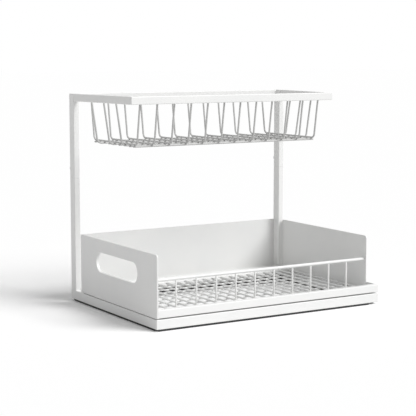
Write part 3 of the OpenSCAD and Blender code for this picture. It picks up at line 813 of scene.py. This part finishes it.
@dataclass
class Posts:
    """The two rear posts: their caps, foot welds and screws.

    Attributes:
        corner: Corner radius of the tube.
        least_corner: Smallest corner radius of a cap's rings.
        cap_rim: Rounding of a cap's upper edge.
        cap_turns: Steps in that rounding.
        plug: Depth of a cap's plug in its post, and how much smaller it is on each side.
        seam: Gap that sets a cap off from its post.
        weld: Radius of the bead round a foot.
        weld_sink: Depth of that bead's middle in the tube.
    """

    corner: float = 1.2 * MM
    least_corner: float = 0.3 * MM
    cap_rim: float = 0.6 * MM
    cap_turns: int = 4
    plug: tuple[float, float] = (1 * MM, 1.4 * MM)
    seam: float = 0.12 * MM
    weld: float = 0.55 * MM
    weld_sink: float = 0.3 * MM

    def caps(self) -> None:
        """Moulded end caps with a soft upper edge."""
        shape = Shape()
        foot = min(box_of(f"{side}_post_upper").high.z for side in ("left", "right"))
        deep, inset = self.plug
        turns = [math.pi / 2 * i / self.cap_turns for i in range(self.cap_turns + 1)]
        for box in solids("post_caps"):
            w, d = box.size.x - 2 * self.seam, box.size.y - 2 * self.seam
            rows = [(foot - deep, -inset), (foot, -inset), (foot, 0.0)]
            rows += [(box.high.z - self.cap_rim * (1 - math.sin(t)), -self.cap_rim * (1 - math.cos(t)))
                     for t in turns]
            rings = []
            for z, grow in rows:
                radius = max(self.least_corner, self.corner + grow)
                outline = round_rectangle(w + 2 * grow, d + 2 * grow, radius)
                rings.append([Vector((box.mid.x + x, box.mid.y + y, z)) for x, y in outline])
            shape.skin(rings)
        shape.piece("post_end_caps", Body.FRAME, Slot.CAP, ["post_caps"])

    def foot_welds(self) -> None:
        """A bead round the foot of each post."""
        shape = Shape()
        for node in ("left_post_lower", "right_post_lower"):
            box = box_of(node)
            w, d = box.size.x - 2 * self.weld_sink, box.size.y - 2 * self.weld_sink
            shape.ring_bead([Vector((box.mid.x + x, box.mid.y + y, box.low.z)) for x, y in
                             round_rectangle(w, d, self.corner)], self.weld)
        shape.piece("post_foot_welds", Body.FRAME, Slot.COAT)

    def screws(self) -> None:
        """Pan heads with a hexagon socket, each on its shank."""
        for node, name in (("splice_screws", "splice_pan_screws"), ("rear_panel_screws", "panel_pan_screws")):
            shape = Shape()
            for box in solids(node):
                PanScrew().add(shape, box)
            shape.piece(name, Body.FRAME, Slot.ZINC, [node], sharp=35)

    def build(self) -> None:
        """Builds the sub-assembly's own pieces."""
        self.caps()
        self.foot_welds()
        self.screws()


@dataclass
class UpperBasket:
    """The wire basket in its rim, whose arms run inwards towards the front.

    Attributes:
        lean: How far a wall leans in between the rim and the floor.
        floor_bend: Bend radius at the floor.
        rim_bend: Bend radius below the rim.
        low_end: Height above the rim's lower edge at which a leg ends, except on the front bar.
        tack: Thickness and height of the weld between a wire and a rim bar.
        tack_spread: How far a tack reaches beyond its wire as a share of its thickness.
        tack_drops: Distances below its front end at which a cross wire is tacked.
        spot: Size of the weld between two wires, in radii of the upper one.
        sink: Depth of a mitre's bead in its tubes.
        seam: Radius of that bead.
        seam_span: Shares of the mitre's length between which it runs.
        collar_bead: Radius of the bead round a tube's butted end.
        collar_sink: Depth of that bead's middle in the tube.
        collar_corner: Corner radius of its line.
    """

    lean: float = 10 * MM
    floor_bend: float = 8 * MM
    rim_bend: float = 16 * MM
    low_end: float = 5 * MM
    tack: tuple[float, float] = (1.1 * MM, 2.2 * MM)
    tack_spread: float = 1 / 3
    tack_drops: tuple[float, float] = (3 * MM, 8 * MM)
    spot: tuple[float, float, float] = (0.9, 0.9, 0.5)
    sink: float = 0.9 * MM
    seam: float = 1.05 * MM
    seam_span: tuple[float, float] = (0.12, 0.95)
    collar_bead: float = 0.5 * MM
    collar_sink: float = 0.25 * MM
    collar_corner: float = 1.2 * MM

    def tub_path(self, legs: tuple[float, float], foot: float, tops: tuple[float, float]) -> list[
            tuple[float, float]]:
        """Corners of a U-shaped wire in its own plane.

        Args:
            legs: Where its two legs stand.
            foot: Height of its floor.
            tops: Heights of its two ends.

        Returns:
            Place and height of each corner.
        """
        rim = box_of("rim_front_bar").low.z
        (low, high), (first, last) = legs, tops
        return [(low, first), (low, rim), (low + self.lean, foot), (high - self.lean, foot),
                (high, rim), (high, last)]

    def wires(self) -> None:
        """Cross wires and long wires, bent up to the rim, and straight floor wires."""
        low_top = box_of("rim_front_bar").low.z + self.low_end
        bends = [self.rim_bend, self.floor_bend, self.floor_bend, self.rim_bend]
        cross, long_, floor = Shape(), Shape(), Shape()
        for box in solids("basket_cross_wires"):
            r = box.size.x / 2
            corners = self.tub_path((box.low.y + r, box.high.y - r), box.low.z + r, (box.high.z, low_top))
            cross.rod(fillet([Vector((box.mid.x, y, z)) for y, z in corners], bends), r)
        for box in solids("basket_long_wires"):
            r = box.size.y / 2
            corners = self.tub_path((box.low.x + r, box.high.x - r), box.low.z + r, (box.high.z, box.high.z))
            long_.rod(fillet([Vector((x, box.mid.y, z)) for x, z in corners], bends), r)
        for box in solids("basket_floor_wires"):
            ends = [Vector((x, box.mid.y, box.mid.z)) for x in (box.low.x, box.high.x)]
            floor.rod(ends, box.size.y / 2)
        # The basket's wires take the darker copy of the white coat: painted shade.
        cross.piece("basket_cross", Body.FRAME, Slot.COAT, ["basket_cross_wires"], look=SHADED_WIRE_LOOK)
        long_.piece("basket_long", Body.FRAME, Slot.COAT, ["basket_long_wires"], look=SHADED_WIRE_LOOK)
        floor.piece("basket_floor", Body.FRAME, Slot.COAT, ["basket_floor_wires"], look=SHADED_WIRE_LOOK)

    def welds(self) -> None:
        """Spot welds where wires cross, and tacks where they meet the rim."""
        shape = Shape()
        floors, longs = solids("basket_floor_wires"), solids("basket_long_wires")
        side, tall = self.tack
        low_tack = box_of("rim_front_bar").low.z + self.low_end / 2
        for cross in solids("basket_cross_wires"):
            r = cross.size.x / 2
            wide = r + side * self.tack_spread
            for other in [*floors, *longs]:
                shape.nugget(Vector((cross.mid.x, other.mid.y, cross.low.z)), Vector(self.spot) * r)
            tacks = [(cross.low.y, cross.high.z - drop) for drop in self.tack_drops]
            for y, z in [*tacks, (cross.high.y, low_tack)]:
                shape.nugget(Vector((cross.mid.x, y, z)), (wide, side, tall))
        for wire in longs:
            wide = wire.size.y / 2 + side * self.tack_spread
            for x in (wire.low.x, wire.high.x):
                shape.nugget(Vector((x, wire.mid.y, low_tack)), (side, wide, tall))
        # The basket's welds take the same darker copy of the white coat: painted shade.
        shape.piece("basket_spot_welds", Body.FRAME, Slot.COAT, look=SHADED_WIRE_LOOK)

    def rim_seams(self) -> None:
        """Beads on the rim's front mitres and where its arms and rear bar meet the posts."""
        shape = Shape()
        front, rear = box_of("rim_front_bar"), box_of("rim_rear_bar")
        for node, sign in (("rim_left_arm", 1), ("rim_right_arm", -1)):
            arm = box_of(node)
            back, inner = (arm.low.x, arm.high.x) if sign > 0 else (arm.high.x, arm.low.x)
            corner = front.low.x if sign > 0 else front.high.x
            for z in (front.high.z - self.sink, front.low.z + self.sink):
                a, b = Vector((corner, front.low.y, z)), Vector((inner, front.high.y, z))
                shape.bead(part_of(a, b, self.seam_span), self.seam)
            wide = front.size.y / math.cos(math.atan2(abs(corner - back), arm.size.y))
            self.collar(shape, Vector((back + sign * wide / 2, arm.high.y, arm.mid.z)), X_AXIS, wide,
                        arm.size.z)
            post = rear.low.x if sign > 0 else rear.high.x
            self.collar(shape, Vector((post, rear.mid.y, rear.mid.z)), Y_AXIS, rear.size.y, rear.size.z)
        shape.piece("rim_welds", Body.FRAME, Slot.COAT)

    def collar(self, shape: Shape, centre: Vector, across: Vector, width: float, height: float) -> None:
        """Adds the bead round a tube's butted end.

        Args:
            shape: What the bead is added to.
            centre: Middle of the tube's end.
            across: Level direction of the end's width.
            width: Width of the tube.
            height: Height of the tube.
        """
        outline = round_rectangle(width - 2 * self.collar_sink, height - 2 * self.collar_sink,
                                  self.collar_corner)
        shape.ring_bead([centre + across * x + UP * y for x, y in outline], self.collar_bead)

    def build(self) -> None:
        """Builds the sub-assembly's own pieces."""
        self.wires()
        self.welds()
        self.rim_seams()


@dataclass
class FoldedPanel:
    """A sheet whose front, top and rear edges are folded in, with or without a handle hole.

    Attributes:
        node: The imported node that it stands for.
        name: The new piece's name.
        inward: +1 if its folds point along +X, -1 if they point along -X.
        fold: Depth of the folded edge.
        sheet: Thickness of the sheet.
        corner: Radius of the two upper corners.
        bend: Outer radius of the folds.
        hole: Length and height of the handle hole, or None.
        hole_centre: Middle of the hole, in Y and Z.
        flange: Depth of the flange round the hole.
        turns: Steps in the bend of a fold.
        corner_steps: Steps in an upper corner.
        side_steps: Steps up a side.
        top_steps: Steps along the top.
        hole_steps: Steps in each round end of the hole.
        edge: Rounding of the sheet's own edges.
        edge_angle: Least bend, in degrees, that counts as such an edge.
        box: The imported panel's box.
    """

    node: str
    name: str
    inward: int
    fold: float = 3 * MM
    sheet: float = 1.5 * MM
    corner: float = 5 * MM
    bend: float = 2 * MM
    hole: tuple[float, float] | None = None
    hole_centre: tuple[float, float] = (0.0, 0.0)
    flange: float = 5 * MM
    turns: int = 6
    corner_steps: int = 8
    side_steps: int = 4
    top_steps: int = 6
    hole_steps: int = 20
    edge: float = 0.25 * MM
    edge_angle: float = 50.0
    box: Box = field(init=False)

    def __post_init__(self) -> None:
        """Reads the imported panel's box."""
        self.box = box_of(self.node)

    def place(self, y: float, z: float, depth: float) -> Vector:
        """A point at a depth behind the panel's outer face."""
        face = self.box.low.x if self.inward > 0 else self.box.high.x
        return Vector((face + self.inward * depth, y, z))

    def edge_rows(self, length: float) -> list[tuple[float, float]]:
        """Inset and depth of each row of points from a fold's free edge to the flat face."""
        rows = [(0.0, length), (0.0, (length + self.bend) / 2)]
        for i in range(self.turns + 1):
            turn = math.pi / 2 * i / self.turns
            rows.append((self.bend * (1 - math.cos(turn)), self.bend * (1 - math.sin(turn))))
        return rows

    def outline(self, inset: float) -> list[tuple[float, float]]:
        """The line up the front edge, over the top and down the rear edge, moved inwards."""
        y0, y1 = self.box.low.y + inset, self.box.high.y - inset
        z0, z1 = self.box.low.z, self.box.high.z - inset
        r = self.corner - inset
        rise = [z0 + (z1 - r - z0) * i / self.side_steps for i in range(self.side_steps + 1)]
        turns = [math.pi / 2 * i / self.corner_steps for i in range(self.corner_steps + 1)]
        line = [(y0, z) for z in rise]
        line += [(y0 + r - r * math.cos(t), z1 - r + r * math.sin(t)) for t in turns[1:]]
        line += [(y0 + r + (y1 - y0 - 2 * r) * i / self.top_steps, z1) for i in range(1, self.top_steps)]
        line += [(y1 - r + r * math.sin(t), z1 - r + r * math.cos(t)) for t in turns]
        return line + [(y1, z) for z in reversed(rise[:-1])]

    def stadium(self, grow: float) -> list[tuple[float, float]]:
        """The hole's outline, grown on all sides."""
        length, height = self.hole
        r, half = height / 2 + grow, (length - height) / 2
        turns = [math.pi * i / self.hole_steps - math.pi / 2 for i in range(self.hole_steps + 1)]
        right = [(half + r * math.cos(t), r * math.sin(t)) for t in turns]
        left = [(-half - r * math.cos(t), -r * math.sin(t)) for t in turns]
        return [(self.hole_centre[0] + y, self.hole_centre[1] + z) for y, z in [*right, *left]]

    def build(self) -> None:
        """Builds the panel's outer skin, then gives it its thickness."""
        skin = Shape()
        edge = [[self.place(y, z, depth) for y, z in self.outline(inset)]
                for inset, depth in self.edge_rows(self.fold)]
        skin.skin(edge, loop=False, caps=False)
        rims = [edge[-1]]
        if self.hole:
            hole = [[self.place(y, z, depth) for y, z in self.stadium(grow)]
                    for grow, depth in self.edge_rows(self.flange)]
            skin.skin(hole, caps=False)
            rims.append(hole[-1])
        obj = skin.piece(self.name, Body.TRAY, Slot.COAT, [self.node])
        self.fill(obj.data, rims)
        self.thicken(obj)

    def fill(self, mesh: bpy.types.Mesh, rims: Sequence[Sequence[Vector]]) -> None:
        """Fills the flat face between the outline and the hole.

        Args:
            mesh: The panel's mesh, which holds the folds.
            rims: The open line along the folds and, if there is a hole, its closed line.
        """
        made = bmesh.new()
        made.from_mesh(mesh)
        loops = []
        for rim in rims:
            verts = [made.verts.new(p) for p in rim]
            loops += [made.edges.new(pair) for pair in zip(verts, verts[1:])]
            loops.append(made.edges.new((verts[-1], verts[0])))
        bmesh.ops.triangle_fill(made, edges=loops, use_beauty=True)
        bmesh.ops.remove_doubles(made, verts=made.verts, dist=SAME_IN_MESH)
        bmesh.ops.recalc_face_normals(made, faces=made.faces)
        made.faces.ensure_lookup_table()
        flat = max(made.faces, key=lambda f: f.calc_area())
        if flat.normal.x * self.inward > 0:
            bmesh.ops.reverse_faces(made, faces=made.faces)
        made.to_mesh(mesh)
        made.free()
        mesh.shade_smooth()

    def thicken(self, obj: bpy.types.Object) -> None:
        """Gives the skin the sheet's thickness and breaks its sharp edges."""
        sheet = obj.modifiers.new("sheet", "SOLIDIFY")
        sheet.thickness = self.sheet
        sheet.offset = -1
        sheet.use_even_offset = True
        sheet.use_quality_normals = True
        soft = obj.modifiers.new("soft_edges", "BEVEL")
        soft.width = self.edge
        soft.segments = 2
        soft.limit_method = "ANGLE"
        soft.angle_limit = math.radians(self.edge_angle)
        weight = obj.modifiers.new("even_shading", "WEIGHTED_NORMAL")
        weight.keep_sharp = True


@dataclass
class Tray:
    """The pull-out tray: its two panels, mesh floor, fence and welds.

    Attributes:
        hole: Length and height of the handle hole.
        hole_height: Height of the hole's middle above the floor.
        hole_shift: Distance along Y from the panel's middle to the hole's.
        wire_sides: Points round a mesh wire, and round a fence wire.
        spot: Size of the weld between two mesh wires; all spots are in radii of their wire.
        bar_spot: Size of a cross wire's weld on the tray's front bar.
        rear_spot: Size of a cross wire's weld on the rear bar.
        rear_drop: Distance of that weld below the wire's middle, in wire radii.
        rail_spot: Size of an upright's weld on the rail.
        foot_spot: Size of the weld at an upright's foot.
        bar_inset: Distance of the front bar's welds from the front ends of the cross wires.
        stitch: Length of a stitch weld, along the foot of the end panel or under the front bar.
        stitch_count: Number of those welds under the end panel.
        stitch_bead: Radius of those beads.
        top_bead: Radius of the bead at the top of the left bar, and of the one under the front bar.
        top_sink: Depth of the former below the left bar's upper face.
        corner_bead: Radius of the beads down the inner corners.
        corner_ends: Distances of their lower and upper end from the front bar's edges.
        rail_bead: Radius of the bead round each end of the rail.
        rail_sides: Points round that bead.
        runner_start: Distance of the front runner's weld from its left end.
        runner_inset: Distance of that weld from the runner's front edge.
    """

    hole: tuple[float, float] = (140 * MM, 32 * MM)
    hole_height: float = 79 * MM
    hole_shift: float = 2.5 * MM
    wire_sides: tuple[int, int] = (16, 24)
    spot: tuple[float, float, float] = (0.75, 0.7, 0.35)
    bar_spot: tuple[float, float, float] = (0.9, 1.6, 0.4)
    rear_spot: tuple[float, float, float] = (1.0, 0.5, 0.6)
    rear_drop: float = 0.4
    rail_spot: tuple[float, float, float] = (1.15, 1.15, 0.6)
    foot_spot: tuple[float, float, float] = (1.3, 1.3, 0.5)
    bar_inset: float = 4 * MM
    stitch: float = 12 * MM
    stitch_count: int = 5
    stitch_bead: float = 0.8 * MM
    top_bead: float = 0.6 * MM
    top_sink: float = 0.2 * MM
    corner_bead: float = 0.7 * MM
    corner_ends: tuple[float, float] = (2 * MM, 0.5 * MM)
    rail_bead: float = 0.5 * MM
    rail_sides: int = 20
    runner_start: float = 20 * MM
    runner_inset: float = 1 * MM

    def panels(self) -> None:
        """The handle panel and the plain end panel."""
        handle = box_of("handle_panel")
        centre = (handle.mid.y + self.hole_shift, self.hole_height)
        FoldedPanel("handle_panel", "handle_sheet", 1, hole=self.hole, hole_centre=centre).build()
        FoldedPanel("end_panel", "end_sheet", -1).build()

    def straight_wires(self) -> None:
        """Mesh wires, fence rail and uprights, each cut to length."""
        thin, thick = self.wire_sides
        for node, name, axis, sides in (
                ("mesh_cross_wires", "mesh_cross", 1, thin), ("mesh_long_wires", "mesh_long", 0, thin),
                ("fence_rail", "rail", 0, thick), ("fence_uprights", "uprights", 2, thick)):
            shape = Shape()
            for box in solids(node):
                low, high = box.mid.copy(), box.mid.copy()
                low[axis], high[axis] = box.low[axis], box.high[axis]
                shape.rod([low, high], box.size[(axis + 1) % 3] / 2, sides)
            shape.piece(name, Body.TRAY, Slot.COAT, [node])

    def welds(self) -> None:
        """Spot welds of the mesh and the fence."""
        shape = Shape()
        crosses, longs = solids("mesh_cross_wires"), solids("mesh_long_wires")
        for cross in crosses:
            r = cross.size.x / 2
            for wire in longs:
                shape.nugget(Vector((cross.mid.x, wire.mid.y, cross.low.z)), Vector(self.spot) * r)
            on_bar = Vector((cross.mid.x, cross.low.y + self.bar_inset, cross.low.z))
            shape.nugget(on_bar, Vector(self.bar_spot) * r)
            at_rear = Vector((cross.mid.x, cross.high.y, cross.mid.z - self.rear_drop * r))
            shape.nugget(at_rear, Vector(self.rear_spot) * r)
        rail = box_of("fence_rail")
        for upright in solids("fence_uprights"):
            r = upright.size.x / 2
            shape.nugget(Vector((upright.mid.x, rail.mid.y, rail.low.z)), Vector(self.rail_spot) * r)
            foot = Vector((upright.mid.x, upright.mid.y, upright.low.z))
            shape.nugget(foot, Vector(self.foot_spot) * r)
        circle = oval(rail.size.z / 2, rail.size.z / 2, self.rail_sides)
        for x in (rail.low.x, rail.high.x):
            shape.ring_bead([Vector((x, rail.mid.y + y, rail.mid.z + z)) for y, z in circle], self.rail_bead)
        shape.piece("tray_spot_welds", Body.TRAY, Slot.COAT)

    def seams(self) -> None:
        """Beads where the tray's bars, the end panel and the front runner meet."""
        shape = Shape()
        bar, left, right = (box_of(f"tray_{side}_bar") for side in ("front", "left", "right"))
        runner, panel = box_of("front_runner"), box_of("end_panel")
        sheet = FoldedPanel.sheet
        top = left.high.z - self.top_sink
        shape.bead([Vector((x, bar.high.y, top)) for x in (left.low.x, left.high.x)], self.top_bead)
        heights = (bar.low.z + self.corner_ends[0], bar.high.z - self.corner_ends[1])
        for x in (left.high.x, right.high.x - sheet):
            shape.bead([Vector((x, bar.high.y, z)) for z in heights], self.corner_bead)
        pitch = (panel.size.y - self.stitch) / (self.stitch_count + 1)
        for i in range(self.stitch_count):
            start = Vector((panel.high.x - sheet, panel.low.y + (i + 1) * pitch, panel.low.z))
            shape.bead([start, start + Y_AXIS * self.stitch], self.stitch_bead)
        start = Vector((runner.low.x + self.runner_start, runner.low.y + self.runner_inset, bar.low.z))
        shape.bead([start, start + X_AXIS * self.stitch], self.top_bead)
        shape.piece("tray_seams", Body.TRAY, Slot.COAT)

    def build(self) -> None:
        """Builds the sub-assembly's own pieces."""
        self.panels()
        self.straight_wires()
        self.welds()
        self.seams()


# ---- Studio ----


@dataclass(frozen=True)
class Studio:
    """White floor and background, one soft key light and even fill.

    Attributes:
        eye: Place of the camera.
        yaw: Turn of the camera from +Y towards +X, in radians.
        pitch: How far it looks down, in radians.
        focal: Focal length in pixels of the 416-pixel picture.
        picture: Side of the picture in pixels.
        sensor: Side of the sensor in millimetres.
        key: Strength of the key light.
        key_from: Direction from the object to the key light.
        key_spread: Angle that the key light fills, in degrees.
        fill: Brightness of the surroundings that light the object.
        floor: Colour of the floor as it lights the object.
        floor_seen: Colour of the floor as the camera sees it.
        floor_half: Half the floor's side.
        floor_drop: How far the floor lies below the strips, so that the two don't share a plane.
        clip: Nearest and farthest distance that the camera shows.
    """

    eye: tuple[float, float, float] = (-1.1294, -1.8084, 0.4198)
    yaw: float = 0.5464
    pitch: float = 0.1222
    focal: float = 1293.1
    picture: int = 416
    sensor: float = 36.0
    key: float = 2.5
    key_from: tuple[float, float, float] = (0.42, -0.58, 0.7)
    key_spread: float = 34.0
    fill: float = 0.41
    floor: Colour = (0.8, 0.8, 0.8)
    floor_seen: Colour = (1.03, 1.03, 1.03)
    floor_half: float = 20.0
    floor_drop: float = 0.1 * MM
    clip: tuple[float, float] = (0.05, 50.0)

    def camera(self) -> None:
        """Sets the photographed view."""
        data = bpy.data.cameras.new("camera")
        data.sensor_width = self.sensor
        data.lens = self.focal / self.picture * self.sensor
        data.clip_start, data.clip_end = self.clip
        camera = bpy.data.objects.new("camera", data)
        camera.location = self.eye
        camera.rotation_euler = Euler((math.pi / 2 - self.pitch, 0.0, -self.yaw))
        bpy.context.scene.collection.objects.link(camera)
        bpy.context.scene.camera = camera

    def lamp(self) -> None:
        """The key light, from the front right."""
        data = bpy.data.lights.new("key", "SUN")
        data.energy = self.key
        data.angle = math.radians(self.key_spread)
        lamp = bpy.data.objects.new("key", data)
        lamp.rotation_euler = Vector(self.key_from).to_track_quat("Z", "Y").to_euler()
        bpy.context.scene.collection.objects.link(lamp)

    def surroundings(self) -> None:
        """White to the camera and in reflections, a plain fill to everything else."""
        world = bpy.data.worlds.new("studio")
        world.use_nodes = True
        graph = Graph(world.node_tree)
        mix = graph.add("ShaderNodeMixShader", {"Fac": graph.seen()})
        for strength, socket in ((self.fill, mix.inputs[1]), (1.0, mix.inputs[2])):
            light = graph.add("ShaderNodeBackground", {"Color": rgba((1, 1, 1)), "Strength": strength})
            graph.feed(light.outputs[0], socket)
        out = graph.add("ShaderNodeOutputWorld")
        graph.feed(mix.outputs[0], out.inputs["Surface"])
        bpy.context.scene.world = world

    def ground(self) -> None:
        """A wide pale floor that keeps the object's shadow."""
        material = bpy.data.materials.new("studio_floor")
        material.use_nodes = True
        graph = Graph(material.node_tree)
        colour = graph.blend(graph.seen(), rgba(self.floor), rgba(self.floor_seen))
        paint = graph.add("ShaderNodeBsdfDiffuse", {"Color": colour})
        out = graph.add("ShaderNodeOutputMaterial")
        graph.feed(paint.outputs[0], out.inputs["Surface"])
        mesh = bpy.data.meshes.new("studio_floor")
        corners = [(x * self.floor_half, y * self.floor_half, -self.floor_drop)
                   for x, y in ((-1, -1), (1, -1), (1, 1), (-1, 1))]
        mesh.from_pydata(corners, [], [(0, 1, 2, 3)])
        mesh.materials.append(material)
        floor = bpy.data.objects.new("studio_floor", mesh)
        bpy.context.scene.collection.objects.link(floor)

    def build(self) -> None:
        """Sets the view, the light and the floor."""
        self.camera()
        self.lamp()
        self.surroundings()
        self.ground()
        bpy.context.scene.view_settings.view_transform = "Standard"


def dress_nodes() -> None:
    """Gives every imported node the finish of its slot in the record."""
    for part in FRAME["record"]["subparts"]:
        node = FRAME["nodes"][part["node"]]
        node.data.materials.clear()
        node.data.materials.append(bpy.data.materials[part["material_slot"]])
        LOG.info("%s: dressed in %s", part["node"], part["material_slot"])


def main() -> None:
    """Builds the finishes, the sub-assemblies and the studio."""
    logging.basicConfig(level=logging.INFO, format="%(name)s: %(message)s")
    effects = Effects()
    for old in list(bpy.data.materials):
        old.name = "packed_" + old.name
    for finish in FINISHES:
        finish.dress(effects)
    dress_nodes()
    BaseFrame().build()
    Posts().build()
    UpperBasket().build()
    Tray().build()
    Studio().build()


if __name__ == "__main__":
    main()
